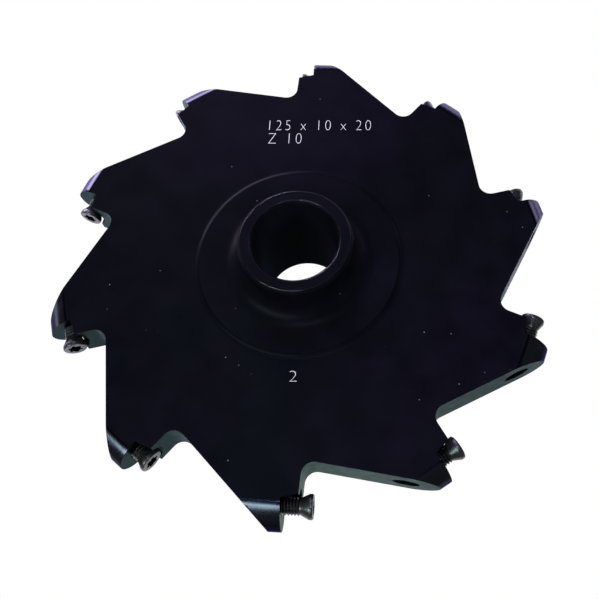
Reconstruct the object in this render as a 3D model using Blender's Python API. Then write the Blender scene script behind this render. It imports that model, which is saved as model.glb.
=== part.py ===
"""Side and face cutter: a one-piece indexable cutter body and its ten insert clamping screws.

The body is turned and milled from one bar: a toothed disc, a shallow boss ring on its front face,
and a hub that stands out on both sides and carries the bore. It stands on the rear end of its hub,
with the bore's axis along Z. No inserts are fitted, and each screw is part of the way down its hole.
"""
from math import acos, atan2, cos, pi, radians, sin, tan

import bmesh
import bpy
from mathutils import Matrix, Vector

MM = 0.001

# Disc
TOOTH_COUNT = 10
DISC_THICKNESS = 10.2 * MM
CREST_RADIUS = 61.7 * MM          # from the axis to the crest of a tooth, along its seat
FIRST_SEAT_ANGLE = radians(10.1)  # direction of the first tooth's seat face, from +X

# Hub, boss ring and bore
HUB_DIAMETER = 26.8 * MM
FRONT_HUB_LENGTH = 10.3 * MM
REAR_HUB_LENGTH = 12.9 * MM
HUB_EDGE_CHAMFER = 0.6 * MM
FRONT_ROOT_FILLET = 5.0 * MM
REAR_ROOT_FILLET = 2.0 * MM
BORE_DIAMETER = 20.0 * MM
BORE_CHAMFER = 0.5 * MM
BOSS_DIAMETER = 47.8 * MM         # at the boss ring's upper edge
BOSS_HEIGHT = 0.8 * MM
BOSS_FOOT_FILLET = 1.7 * MM       # the ring's edge runs out into the disc on this hollow curve

# Tooth spaces, in the plane of the disc. Each seat face lies in a plane through the axis, and what
# lies along it is placed from the crest inwards.
SLOPE_INSET = 15.2 * MM           # from the crest circle in to the line of a tooth's straight back
SLOPE_LEAN = radians(7.85)        # from a seat back to the line square to the next tooth's back
LEDGE_INSET = 6.2 * MM            # where the ledge meets the seat
LEDGE_LEAN = radians(14)          # the ledge drops away to meet the slanted flank of an insert
INSERT_THICKNESS = 3.8 * MM       # the ledge is as deep as the insert is thick
WALL_LEAN = radians(-3)           # the wall below the ledge, against the plane of the seat
GULLET_RADIUS = 2.8 * MM

# Crowned tooth tip, seen along the seat: a flat bevel on the front edge, then two arcs that meet
# at the crest. Odd teeth lean to the front face and even teeth to the rear face.
BEVEL_WIDTH = 1.4 * MM
BEVEL_DEPTH = 0.75 * MM
FRONT_BEVEL_INSET = {"odd": 3.6 * MM, "even": 4.7 * MM}
REAR_SHOULDER_INSET = {"odd": 3.9 * MM, "even": 3.2 * MM}
CREST_DEPTH = {"odd": 5.0 * MM, "even": 6.5 * MM}

# Clamping screws
THREAD_DIAMETER = 4.0 * MM
SHANK_DIAMETER = 3.6 * MM         # mean diameter of the thread
SHANK_LENGTH = 6.8 * MM
HEAD_DIAMETER = 5.45 * MM
HEAD_NECK_DIAMETER = 3.8 * MM
HEAD_CONE_LENGTH = 1.7 * MM
HEAD_RIM_LENGTH = 1.0 * MM
HEAD_EDGE_ROUNDING = 0.3 * MM
SOCKET_RADIUS = 1.40 * MM
SOCKET_LOBE = 0.22 * MM
SOCKET_LOBE_COUNT = 6
SOCKET_DEPTH = 1.6 * MM
SCREW_INSET = 5.3 * MM            # from the crest in to a screw's axis, along the seat
SCREW_CLEARANCE = 0.3 * MM
SCOOP_RADIUS = 3.7 * MM           # round scoop in the ledge, which leaves room for the screw's head
SCOOP_FLOOR = 1.5 * MM            # its floor, above the seat
# How far each head's face stands off its seat, tooth by tooth.
SCREW_STANDOUTS = [value * MM for value in (5.1, 4.45, 3.45, 3.35, 4.75, 5.25, 4.3, 6.75, 5.65, 6.2)]

# Fineness
TURNED_SEGMENTS = 72
GULLET_STEPS = 6
HOLLOW_STEPS = 5
CROWN_STEPS = 5
HOLE_SEGMENTS = 24
SCREW_SEGMENTS = 24

# Worked out from the sizes above
SLOPE_DISTANCE = CREST_RADIUS - SLOPE_INSET
LEDGE_RADIUS = CREST_RADIUS - LEDGE_INSET
SCREW_RADIUS = CREST_RADIUS - SCREW_INSET
PITCH = 2 * pi / TOOTH_COUNT
REAR_FACE_Z = REAR_HUB_LENGTH
FRONT_FACE_Z = REAR_HUB_LENGTH + DISC_THICKNESS
HUB_TOP_Z = FRONT_FACE_Z + FRONT_HUB_LENGTH
MID_DISC_Z = REAR_FACE_Z + DISC_THICKNESS / 2
HEAD_LENGTH = HEAD_CONE_LENGTH + HEAD_RIM_LENGTH
OVERCUT = 1.0 * MM                # how far a cutter runs past the face that it cuts through


def clear_scene():
    for found in list(bpy.data.objects):
        bpy.data.objects.remove(found, do_unlink=True)


def make_material(name, color, metallic, roughness):
    material = bpy.data.materials.new(name)
    material.use_nodes = True
    shader = material.node_tree.nodes["Principled BSDF"]
    shader.inputs["Base Color"].default_value = (*color, 1.0)
    shader.inputs["Metallic"].default_value = metallic
    shader.inputs["Roughness"].default_value = roughness
    return material


def finish_mesh(name, bm):
    """Turn a bmesh into a mesh with its faces pointing out."""
    bmesh.ops.recalc_face_normals(bm, faces=bm.faces)
    mesh = bpy.data.meshes.new(name)
    bm.to_mesh(mesh)
    bm.free()
    return mesh


def add_object(name, mesh, material=None):
    made = bpy.data.objects.new(name, mesh)
    bpy.context.scene.collection.objects.link(made)
    if material is not None and not mesh.materials:
        mesh.materials.append(material)
    return made


def add_cutter(name, bm):
    """A helper that only shapes the body: it is neither rendered nor kept."""
    cutter = add_object(name, finish_mesh(name, bm))
    cutter.hide_render = True
    cutter.display_type = "WIRE"
    return cutter


def add_boolean(target, operation, tool):
    modifier = target.modifiers.new(tool.name, "BOOLEAN")
    modifier.operation = operation
    modifier.solver = "EXACT"
    modifier.object = tool


def join_rings(bm, rings, placement=None):
    """Skin a stack of closed rings with equal point counts, and cap both ends."""
    loops = []
    for ring in rings:
        points = [Vector(point) for point in ring]
        if placement is not None:
            points = [placement @ point for point in points]
        loops.append([bm.verts.new(point) for point in points])
    count = len(loops[0])
    for lower, upper in zip(loops, loops[1:]):
        for i in range(count):
            j = (i + 1) % count
            bm.faces.new((lower[i], lower[j], upper[j], upper[i]))
    bm.faces.new(list(reversed(loops[0])))
    bm.faces.new(loops[-1])


def turned_rings(profile, segments):
    """Rings of a solid turned round Z, from (radius, height) pairs."""
    turns = [2 * pi * i / segments for i in range(segments)]
    return [[(radius * cos(a), radius * sin(a), height) for a in turns] for radius, height in profile]


def seat_frame(tooth):
    """Frame of one tooth: X out along the seat face, Y square to the seat, Z up the axis."""
    return Matrix.Rotation(FIRST_SEAT_ANGLE + tooth * PITCH, 4, "Z")


def heading(angle):
    return Vector((cos(angle), sin(angle)))


def crossing_point(point, direction, normal, distance):
    """Where a line meets the line that lies square to a normal at a distance from the axis."""
    return point + direction * ((distance - point.dot(normal)) / direction.dot(normal))


def fillet_points(corner, toward_start, toward_end, radius, steps):
    """Points of an arc that rounds the corner between two headings."""
    opening = toward_start.angle(toward_end)
    middle = (toward_start + toward_end).normalized()
    centre = corner + middle * (radius / sin(opening / 2))
    reach = radius / tan(opening / 2)
    first = corner + toward_start * reach - centre
    last = corner + toward_end * reach - centre
    from_angle = atan2(first.y, first.x)
    sweep = (atan2(last.y, last.x) - from_angle + pi) % (2 * pi) - pi
    return [centre + heading(from_angle + sweep * i / steps) * radius for i in range(steps + 1)]


def tooth_space_outline():
    """Outline of one tooth space in its seat frame, from the blank tip to the next tooth's back.

    X runs out along the seat and Y stands square to it. The next tooth's back is square to a
    heading that lies SLOPE_LEAN behind the seat, and this tooth's own back is one pitch further.
    """
    blank_tip = SLOPE_DISTANCE / cos(SLOPE_LEAN + PITCH)
    nose = Vector((LEDGE_RADIUS - INSERT_THICKNESS * tan(LEDGE_LEAN), INSERT_THICKNESS))
    up_wall = heading(WALL_LEAN)
    square_to_slope = heading(-SLOPE_LEAN)
    along_slope = heading(pi / 2 - SLOPE_LEAN)
    corner = crossing_point(nose, up_wall, square_to_slope, SLOPE_DISTANCE)
    points = [Vector((blank_tip, 0.0)), Vector((LEDGE_RADIUS, 0.0)), nose]
    points += fillet_points(corner, up_wall, along_slope, GULLET_RADIUS, GULLET_STEPS)
    return points


def make_disc_bmesh():
    """The toothed disc as a straight extrusion, with its tips still square."""
    outline = []
    for tooth in range(TOOTH_COUNT):
        turn = seat_frame(tooth)
        outline += [turn @ point.to_3d() for point in tooth_space_outline()]
    bm = bmesh.new()
    rings = [[(p.x, p.y, height) for p in outline] for height in (REAR_FACE_Z, FRONT_FACE_Z)]
    join_rings(bm, rings)
    return bm


def hollow_points(foot_radius, foot_height, curve_radius, rise, steps):
    """A hollow curve that leaves a flat face at the foot and climbs inwards by the given rise."""
    full = acos(1 - abs(rise) / curve_radius)
    side = 1 if rise > 0 else -1
    points = []
    for i in range(steps + 1):
        angle = full * i / steps
        inwards = foot_radius - curve_radius * sin(angle)
        points.append((inwards, foot_height + side * curve_radius * (1 - cos(angle))))
    return points


def make_hub_bmesh():
    """Hub and boss ring, turned in one profile from the rear end up to the front end."""
    hub = HUB_DIAMETER / 2
    boss = BOSS_DIAMETER / 2
    boss_top = FRONT_FACE_Z + BOSS_HEIGHT
    boss_foot = boss + BOSS_FOOT_FILLET * sin(acos(1 - BOSS_HEIGHT / BOSS_FOOT_FILLET))
    rear_root = hollow_points(hub + REAR_ROOT_FILLET, REAR_FACE_Z, REAR_ROOT_FILLET, -REAR_ROOT_FILLET,
                              HOLLOW_STEPS)
    front_root = hollow_points(hub + FRONT_ROOT_FILLET, boss_top, FRONT_ROOT_FILLET, FRONT_ROOT_FILLET,
                               HOLLOW_STEPS)
    boss_edge = hollow_points(boss_foot, FRONT_FACE_Z, BOSS_FOOT_FILLET, BOSS_HEIGHT, HOLLOW_STEPS)
    profile = [(hub - HUB_EDGE_CHAMFER, 0.0), (hub, HUB_EDGE_CHAMFER)]
    profile += reversed(rear_root)
    profile += [(hub + REAR_ROOT_FILLET, MID_DISC_Z), (boss_foot, MID_DISC_Z)]
    profile += boss_edge + front_root
    profile += [(hub, HUB_TOP_Z - HUB_EDGE_CHAMFER), (hub - HUB_EDGE_CHAMFER, HUB_TOP_Z)]
    bm = bmesh.new()
    join_rings(bm, turned_rings(profile, TURNED_SEGMENTS))
    return bm


def make_bore_cutter():
    bore = BORE_DIAMETER / 2
    mouth = bore + BORE_CHAMFER
    flare = BORE_CHAMFER + OVERCUT
    profile = [
        (bore + flare, -OVERCUT),
        (bore, BORE_CHAMFER),
        (bore, HUB_TOP_Z - BORE_CHAMFER),
        (mouth + OVERCUT, HUB_TOP_Z + OVERCUT),
    ]
    bm = bmesh.new()
    join_rings(bm, turned_rings(profile, TURNED_SEGMENTS))
    return add_cutter("bore_cutter", bm)


def arc_to_crest(shoulder, crest, steps):
    """Arc from a shoulder to the crest, square to the radial direction at the crest."""
    rise = crest[0] - shoulder[0]
    run = crest[1] - shoulder[1]
    radius = (rise ** 2 + run ** 2) / (2 * rise)
    full = atan2(abs(run), radius - rise)
    side = 1 if run < 0 else -1
    points = []
    for i in range(steps + 1):
        angle = full * (1 - i / steps)
        points.append((crest[0] - radius * (1 - cos(angle)), crest[1] + side * radius * sin(angle)))
    return points


def crown_section(kind):
    """What is milled off a tooth tip, as (radial, height) points round the outside of its crown."""
    bevel_start = (CREST_RADIUS - FRONT_BEVEL_INSET[kind], FRONT_FACE_Z)
    bevel_end = (bevel_start[0] + BEVEL_WIDTH, FRONT_FACE_Z - BEVEL_DEPTH)
    crest = (CREST_RADIUS, FRONT_FACE_Z - CREST_DEPTH[kind])
    rear_shoulder = (CREST_RADIUS - REAR_SHOULDER_INSET[kind], REAR_FACE_Z)
    front_arc = arc_to_crest(bevel_end, crest, CROWN_STEPS)
    rear_arc = arc_to_crest(rear_shoulder, crest, CROWN_STEPS)
    lead_in = (bevel_start[0] - OVERCUT * BEVEL_WIDTH / BEVEL_DEPTH, FRONT_FACE_Z + OVERCUT)
    slant = (rear_arc[0][0] - rear_arc[1][0]) / (rear_arc[0][1] - rear_arc[1][1])
    run_out = (rear_shoulder[0] - OVERCUT * slant, REAR_FACE_Z - OVERCUT)
    outside = 1.1 * SLOPE_DISTANCE / cos(SLOPE_LEAN + PITCH)
    return ([lead_in] + front_arc + list(reversed(rear_arc))[1:]
            + [run_out, (outside, run_out[1]), (outside, lead_in[1])])


def make_crown_cutter():
    """Ten straight cuts square to the seats, which leave each tooth tip crowned."""
    bm = bmesh.new()
    behind = -DISC_THICKNESS
    ahead = OVERCUT
    for tooth in range(TOOTH_COUNT):
        kind = "odd" if tooth % 2 == 0 else "even"
        section = crown_section(kind)
        rings = [[(radial, offset, height) for radial, height in section] for offset in (behind, ahead)]
        join_rings(bm, rings, seat_frame(tooth))
    return add_cutter("crown_cutter", bm)


def screw_frame(tooth):
    """Frame of one screw: origin where its axis crosses the seat, Z outwards along the screw."""
    crossing = Matrix.Translation((SCREW_RADIUS, 0.0, MID_DISC_Z))
    return seat_frame(tooth) @ crossing @ Matrix.Rotation(-pi / 2, 4, "X")


def make_screw_hole_cutter():
    """Holes from the seat out through the back of the tooth, and the scoops for the heads."""
    bm = bmesh.new()
    hole = SHANK_DIAMETER / 2 + SCREW_CLEARANCE
    head_room = HEAD_DIAMETER / 2 + SCREW_CLEARANCE
    lowest_rim = min(SCREW_STANDOUTS) - HEAD_RIM_LENGTH
    cone_start = lowest_rim - HEAD_CONE_LENGTH - SCREW_CLEARANCE
    widening = (head_room - hole) / (lowest_rim - cone_start)
    profile = [
        (hole, -SLOPE_DISTANCE / 3),
        (hole, cone_start),
        (hole + widening * (SCOOP_FLOOR - cone_start), SCOOP_FLOOR),
        (SCOOP_RADIUS, SCOOP_FLOOR),
        (SCOOP_RADIUS, 2 * INSERT_THICKNESS),
    ]
    for tooth in range(TOOTH_COUNT):
        join_rings(bm, turned_rings(profile, HOLE_SEGMENTS), screw_frame(tooth))
    return add_cutter("screw_hole_cutter", bm)


def make_cutter_body(material):
    body = add_object("cutter_body", finish_mesh("cutter_body", make_disc_bmesh()), material)
    add_boolean(body, "UNION", add_cutter("hub_blank", make_hub_bmesh()))
    add_boolean(body, "DIFFERENCE", make_bore_cutter())
    add_boolean(body, "DIFFERENCE", make_crown_cutter())
    add_boolean(body, "DIFFERENCE", make_screw_hole_cutter())
    return body


def make_screw_mesh(material):
    """One countersunk screw with a six-lobe socket, its head's face at the origin and Z outwards."""
    socket = (SOCKET_RADIUS, SOCKET_LOBE)
    neck = HEAD_NECK_DIAMETER / 2
    head = HEAD_DIAMETER / 2
    shank = SHANK_DIAMETER / 2
    tip_chamfer = (THREAD_DIAMETER - SHANK_DIAMETER)
    end = -HEAD_LENGTH - SHANK_LENGTH
    stations = [
        (socket, -SOCKET_DEPTH),
        (socket, 0.0),
        ((head - HEAD_EDGE_ROUNDING, 0.0), 0.0),
        ((head, 0.0), -HEAD_EDGE_ROUNDING),
        ((head, 0.0), -HEAD_RIM_LENGTH),
        ((neck, 0.0), -HEAD_LENGTH),
        ((shank, 0.0), -HEAD_LENGTH),
        ((shank, 0.0), end + tip_chamfer),
        ((shank - tip_chamfer, 0.0), end),
    ]
    turns = [2 * pi * i / SCREW_SEGMENTS for i in range(SCREW_SEGMENTS)]
    rings = []
    for (radius, lobe), height in stations:
        reach = [radius + lobe * cos(SOCKET_LOBE_COUNT * a) for a in turns]
        rings.append([(r * cos(a), r * sin(a), height) for r, a in zip(reach, turns)])
    bm = bmesh.new()
    join_rings(bm, rings)
    mesh = finish_mesh("clamp_screw", bm)
    mesh.materials.append(material)
    return mesh


def make_clamp_screws(material):
    mesh = make_screw_mesh(material)
    for tooth in range(TOOTH_COUNT):
        screw = add_object(f"clamp_screw_{tooth + 1:02d}", mesh)
        screw.matrix_world = screw_frame(tooth) @ Matrix.Translation((0.0, 0.0, SCREW_STANDOUTS[tooth]))


def shade(mesh, sharp_angle):
    mesh.shade_smooth()
    mesh.set_sharp_from_angle(angle=sharp_angle)


def main():
    clear_scene()
    body_steel = make_material("blackened_steel", (0.016, 0.016, 0.022), 0.9, 0.38)
    screw_steel = make_material("gunmetal_steel", (0.16, 0.15, 0.14), 1.0, 0.32)
    body = make_cutter_body(body_steel)
    make_clamp_screws(screw_steel)
    shade(body.data, radians(30))
    shade(bpy.data.meshes["clamp_screw"], radians(30))


main()
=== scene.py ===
"""Looks of the side and face cutter: its body, its ten clamping screws, its etched marks and a studio.

The body is turned and milled from one bar. It stands on the rear end of its hub, bore along Z, and
its front face is uppermost. Every length is in metres.
"""
from math import acos, atan2, cos, hypot, pi, radians, sin, tan

import bmesh
import bpy
from bpy.props import FloatProperty, FloatVectorProperty, IntProperty, PointerProperty
from mathutils import Matrix, Vector


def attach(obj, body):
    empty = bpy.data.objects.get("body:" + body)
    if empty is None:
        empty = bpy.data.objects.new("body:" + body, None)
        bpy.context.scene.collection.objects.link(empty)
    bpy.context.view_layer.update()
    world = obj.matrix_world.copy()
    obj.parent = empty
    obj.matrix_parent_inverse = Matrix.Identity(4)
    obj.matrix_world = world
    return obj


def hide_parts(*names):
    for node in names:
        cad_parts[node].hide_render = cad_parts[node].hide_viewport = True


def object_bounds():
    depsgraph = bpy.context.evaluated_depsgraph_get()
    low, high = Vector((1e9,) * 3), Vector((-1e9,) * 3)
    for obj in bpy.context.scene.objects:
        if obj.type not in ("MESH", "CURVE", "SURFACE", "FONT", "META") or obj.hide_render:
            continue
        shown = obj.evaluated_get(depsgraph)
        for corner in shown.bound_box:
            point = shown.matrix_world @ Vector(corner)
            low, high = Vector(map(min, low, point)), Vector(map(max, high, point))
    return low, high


bl_info = {
    "name": "Side and Face Cutter",
    "version": (1, 0, 0),
    "blender": (4, 5, 0),
    "location": "3D View > Sidebar > Cutter",
    "description": "Builds a toothed cutter body, its clamping screws, its etched marks and a studio",
    "category": "Object",
}

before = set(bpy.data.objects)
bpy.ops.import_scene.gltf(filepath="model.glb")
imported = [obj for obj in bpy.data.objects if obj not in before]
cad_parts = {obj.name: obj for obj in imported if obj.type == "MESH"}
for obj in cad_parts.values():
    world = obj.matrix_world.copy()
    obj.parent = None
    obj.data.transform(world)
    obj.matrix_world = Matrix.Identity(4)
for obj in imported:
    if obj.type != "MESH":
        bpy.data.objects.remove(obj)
CAD_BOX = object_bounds()
MM = 0.001

# Material slots of the cutter body
OXIDE, WORN_EDGE, BLUED_BEVEL, MILLED_FLANK = range(4)

# The disc's height comes from the frame: the hub's rear end is at 0 and its front end is the top.
HUB_TOP = CAD_BOX[1].z
FRONT_HUB_LENGTH = 10.3 * MM
DISC_THICKNESS = 10.2 * MM
FRONT_FACE = HUB_TOP - FRONT_HUB_LENGTH
REAR_FACE = FRONT_FACE - DISC_THICKNESS
MID_DISC = (FRONT_FACE + REAR_FACE) / 2

SCREW_NODES = [name for name in sorted(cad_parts) if name.startswith("clamp_screw")]

# How far each screw's head stands off its seat, tooth by tooth, and how far its socket is turned.
SCREW_STANDOUTS = [value * MM for value in (5.1, 4.45, 3.45, 3.35, 4.75, 5.25, 4.3, 6.75, 5.65, 6.2)]
SOCKET_TURNS = [radians(value) for value in (12, 40, 25, 8, 51, 33, 5, 47, 19, 28)]

# Crowned tooth tips. Insets run in from the crest, which lies nearer the front face on odd teeth.
FRONT_BEVEL_INSET = {"odd": 4.4 * MM, "even": 5.5 * MM}
REAR_SHOULDER_INSET = {"odd": 3.9 * MM, "even": 3.2 * MM}
CREST_DEPTH = {"odd": 5.0 * MM, "even": 6.5 * MM}

# How far back from its seat a crown is cut, and its curve's handle as a share of the crest's depth
CROWN_REACH = 16.0 * MM
CROWN_FULLNESS = 0.55

# Depths below the front face over which the blued band on a tip fades in, and then out again. The band's
# gloss is partly painted sheen, and its rims are painted shade
BAND_FADE_IN = (0.06 * MM, 0.24 * MM)
BAND_FADE_OUT = (2.2 * MM, 4.4 * MM)

# Room left round a screw's head in its hole, and the lobes of its socket
SCREW_CLEARANCE = 0.3 * MM
SOCKET_LOBES = 6

# Fineness of the turned and milled curves
TURNED_SEGMENTS = 192
HOLE_SEGMENTS = 48
GULLET_STEPS = 14
HOLLOW_STEPS = 10
CROWN_STEPS = 14
SWEEP_STEPS = 9
SCREW_SEGMENTS = 72
THREAD_ROWS = 9
ROUNDING_STEPS = 5

# How far tools run past a face, how far out they reach in blank radii, and the blank's own oversize
OVERCUT = 1.0 * MM
TOOL_REACH = 1.15
BLANK_OVERSIZE = 1.02

# Points closer together than this are merged after the cuts.
SLIVER = 0.004 * MM

# Etched marks: text, left end of the baseline, length, height of the figures, turn in degrees.
MARKS = [
    ("125 x 10 x 20", (-5.24, 38.32), 26.5, 3.2, -7.0),
    ("Z 10", (-5.71, 34.28), 8.6, 3.2, -7.0),
    ("2", (-4.22, -30.16), 1.7, 2.6, -6.0),
]
MARK_PROUD = 0.01 * MM

# Studio
CAMERA_PLACE = Vector((0.010403, -0.089364, 0.200806))
CAMERA_ELEVATION = 1.1012
CAMERA_ROLL = -0.1011
CAMERA_LENS = 49.99
CAMERA_SHIFT = (-0.07146, -0.07826)

# Lights that wash over the cutter and leave no highlight: name, direction, power and colour.
WASHES = (
    ("left_wash", (-0.66, -0.52, 0.45), 7.0, (1.0, 1.0, 1.0)),
    ("right_wash", (0.66, -0.52, 0.45), 7.0, (1.0, 1.0, 1.0)),
    ("back_wash", (-0.05, 0.86, 0.50), 12.0, (0.84, 0.74, 1.0)),
)

# Lights that the cutter mirrors: name, direction, distance, sides, power, colour, heading of the long side.
HIGHLIGHTS = (
    ("key_strip", (-0.53, -0.54, 0.60), 1.0, (0.85, 0.27), 2.9, (0.72, 0.95, 1.0), (0.58, -0.40, 0.16)),
    ("back_left", (-0.45, 0.90, 0.24), 1.2, (0.95, 0.6), 10.5, (0.83, 0.69, 1.0), (0.92, 0.39, 0.0)),
    ("back_right", (0.78, 0.55, 0.30), 1.2, (0.4, 0.4), 0.6, (0.76, 0.60, 1.0), (-0.55, 0.78, 0.0)),
    ("violet_glow", (-0.09, 0.62, 0.78), 1.0, (0.25, 0.25), 0.55, (0.50, 0.42, 1.0), (0.0, 0.0, 1.0)),
    ("blue_glow", (-0.08, 0.275, 0.958), 1.0, (0.2, 0.2), 0.22, (0.5, 0.62, 1.0), (0.0, 0.0, 1.0)),
    ("hub_glint", (-0.05, -0.14, 0.99), 1.0, (0.10, 0.10), 1.1, (0.5, 0.68, 1.0), (0.0, 0.0, 1.0)),
)


# Sizes and colours


def in_mm(name, size, description):
    return FloatProperty(name=name, description=description, default=size * MM, unit="LENGTH")


def in_degrees(name, size, description):
    return FloatProperty(name=name, description=description, default=radians(size), subtype="ANGLE")


def paint(name, colour, description):
    return FloatVectorProperty(name=name, description=description, default=colour, subtype="COLOR",
                               min=0, max=1)


class CutterBodySizes(bpy.types.PropertyGroup):
    tooth_count: IntProperty(name="Tooth count", description="Number of teeth", default=10, min=3)
    crest_radius: in_mm("Crest radius", 61.7, "From the axis to the crest of a tooth, along its seat")
    first_seat_angle: in_degrees("First seat angle", 10.1,
                                 "Direction of the first tooth's seat face, from +X")
    hub_diameter: in_mm("Hub diameter", 26.8, "Outside diameter of the hub")
    hub_edge_chamfer: in_mm("Hub edge chamfer", 0.6, "Chamfer on the outer rim of both hub ends")
    front_root_fillet: in_mm("Front root fillet", 5.0, "Hollow curve at the foot of the front hub")
    rear_root_fillet: in_mm("Rear root fillet", 2.0, "Hollow curve at the foot of the rear hub")
    bore_diameter: in_mm("Bore diameter", 20.0, "Diameter of the through bore")
    bore_chamfer: in_mm("Bore chamfer", 0.5, "Chamfer on both mouths of the bore")
    boss_diameter: in_mm("Boss diameter", 47.8, "Upper edge of the raised ring on the front face")
    boss_height: in_mm("Boss height", 0.8, "Height of the raised ring")
    boss_foot_fillet: in_mm("Boss foot fillet", 1.7, "Hollow curve on which the raised ring runs out")
    slope_inset: in_mm("Slope inset", 15.2,
                       "From the crest circle in to the line of a tooth's straight back")
    slope_lean: in_degrees("Slope lean", 7.85,
                           "From a seat back to the line square to the next tooth's back")
    ledge_inset: in_mm("Ledge inset", 6.2, "From the crest in to where the ledge meets the seat")
    ledge_lean: in_degrees("Ledge lean", 14, "Slant of the ledge that an insert's flank rests on")
    insert_thickness: in_mm("Insert thickness", 3.8, "Depth of the ledge above the seat")
    wall_lean: in_degrees("Wall lean", -3, "Wall below the ledge, against the plane of the seat")
    gullet_radius: in_mm("Gullet radius", 2.8, "Rounding at the bottom of a tooth space")
    bevel_width: in_mm("Bevel width", 2.3, "How far the crown runs out before it turns down")
    bevel_depth: in_mm("Bevel depth", 0.45, "How far the crown sinks over the bevel's width")
    crown_sweep: in_mm("Crown sweep", 110.0,
                       "Radius of the arc on which the crown falls back behind its seat")
    edge_break: in_mm("Edge break", 0.12, "Width of the small bevel on every machined edge")


class CutterScrewSizes(bpy.types.PropertyGroup):
    axis_inset: in_mm("Axis inset", 5.3, "From the crest in to a screw's axis, along the seat")
    hole_diameter: in_mm("Hole diameter", 4.2, "Diameter of the hole for the screw")
    scoop_radius: in_mm("Scoop radius", 3.7, "Round scoop in the ledge, which leaves room for the head")
    scoop_floor: in_mm("Scoop floor", 1.5, "Height of the scoop's floor above the seat")
    thread_diameter: in_mm("Thread diameter", 4.0, "Over the crests of the thread")
    thread_pitch: in_mm("Thread pitch", 0.7, "Rise of the thread in one turn")
    thread_depth: in_mm("Thread depth", 0.42, "From the crests of the thread to its roots")
    shank_length: in_mm("Shank length", 6.8, "From the head down to the tip")
    plain_neck: in_mm("Plain neck", 0.35, "Length below the head that has no thread")
    neck_diameter: in_mm("Neck diameter", 3.5, "Diameter of the plain neck")
    head_diameter: in_mm("Head diameter", 5.45, "Diameter of the head's rim")
    head_cone_length: in_mm("Head cone length", 1.7, "Length of the countersunk cone")
    head_rim_length: in_mm("Head rim length", 1.0, "Height of the head's cylindrical rim")
    head_edge_rounding: in_mm("Head edge rounding", 0.3, "Rounding round the head's face")
    socket_radius: in_mm("Socket radius", 1.40, "Mean radius of the six-lobe socket")
    socket_lobe: in_mm("Socket lobe", 0.22, "How far the lobes depart from the mean radius")
    socket_depth: in_mm("Socket depth", 1.6, "Depth of the six-lobe socket")


class CutterColours(bpy.types.PropertyGroup):
    oxide: paint("Black oxide", (0.0018, 0.0023, 0.0034), "Blackened surface of the body")
    oxide_violet: paint("Violet oxide", (0.0029, 0.0024, 0.0051),
                        "Patches where the black oxide shines violet")
    bare_speck: paint("Bare specks", (0.30, 0.31, 0.33), "Pinholes and nicks that show bare steel")
    worn_edge: paint("Worn edges", (0.90, 0.88, 0.95), "Turned edges where the oxide is thin")
    # The blued bevel is a glossy ground finish whose band is painted sheen; its darker rims are painted
    # shade.
    blued_bevel: paint("Blued bevel", (0.165, 0.170, 0.205),
                       "Ground bevel on the tooth tips, blued and glossy")
    painted_bevel_shade: paint("Blued shade", (0.020, 0.020, 0.034), "Darker rims of the blued bevel")
    milled_flank: paint("Milled flanks", (0.026, 0.030, 0.032),
                        "Milled walls of the tooth spaces, thinly blackened")
    gunmetal: paint("Gunmetal", (0.20, 0.20, 0.19), "Steel of the clamping screws")
    # Painted shade: a near-black colour put in the roots of the thread and in the socket.
    painted_root_shade: paint("Thread roots", (0.012, 0.012, 0.012), "Oil and oxide in the roots and the socket")
    etching: paint("Etching", (0.90, 0.87, 0.93), "Light grey of the etched marks")
    floor: paint("Floor", (0.82, 0.82, 0.82), "Plain pale floor")


class CutterScene(bpy.types.PropertyGroup):
    body: PointerProperty(type=CutterBodySizes, name="Body", description="Sizes of the cutter body")
    screw: PointerProperty(type=CutterScrewSizes, name="Screws", description="Sizes of the screws")
    colours: PointerProperty(type=CutterColours, name="Colours", description="Colours of the surfaces")


# Placing and mesh helpers


def pitch_angle(sizes):
    return 2 * pi / sizes.tooth_count


def heading(angle):
    return Vector((cos(angle), sin(angle)))


def finish_mesh(name, bm):
    """Turn a bmesh into a mesh with its faces pointing out."""
    bmesh.ops.recalc_face_normals(bm, faces=bm.faces)
    mesh = bpy.data.meshes.new(name)
    bm.to_mesh(mesh)
    bm.free()
    return mesh


def add_object(name, data):
    made = bpy.data.objects.new(name, data)
    bpy.context.scene.collection.objects.link(made)
    return made


def remove_objects(*objects):
    for found in objects:
        data = found.data
        bpy.data.objects.remove(found, do_unlink=True)
        if isinstance(data, bpy.types.Mesh) and data.users == 0:
            bpy.data.meshes.remove(data)


def evaluated_mesh(made):
    bpy.context.view_layer.update()
    return bpy.data.meshes.new_from_object(made.evaluated_get(bpy.context.evaluated_depsgraph_get()))


def bake_modifiers(made, name):
    """Replace an object's mesh by its evaluated one, and take the modifiers off."""
    mesh = evaluated_mesh(made)
    mesh.name = name
    made.modifiers.clear()
    made.data = mesh
    if not mesh.polygons:
        raise RuntimeError(f"{name} came out empty")
    return made


def ring_mesh(name, rings):
    """Solid skinned over a stack of closed rings with equal point counts, and capped at both ends."""
    bm = bmesh.new()
    loops = [[bm.verts.new(point) for point in ring] for ring in rings]
    count = len(loops[0])
    for lower, upper in zip(loops, loops[1:]):
        for i in range(count):
            j = (i + 1) % count
            bm.faces.new((lower[i], lower[j], upper[j], upper[i]))
    bm.faces.new(list(reversed(loops[0])))
    bm.faces.new(loops[-1])
    return finish_mesh(name, bm)


def turned_mesh(name, profile, segments):
    """Solid turned round Z from (radius, height) pairs."""
    turns = [2 * pi * i / segments for i in range(segments)]
    return ring_mesh(name, [[(radius * cos(a), radius * sin(a), height) for a in turns]
                            for radius, height in profile])


def finish_piece(piece, slot, *nodes):
    """Ride the piece on the cutter and let it stand for its nodes. Its slot is not used."""
    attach(piece, "root")
    if nodes:
        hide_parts(*nodes)


# Geometry Nodes helpers


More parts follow.
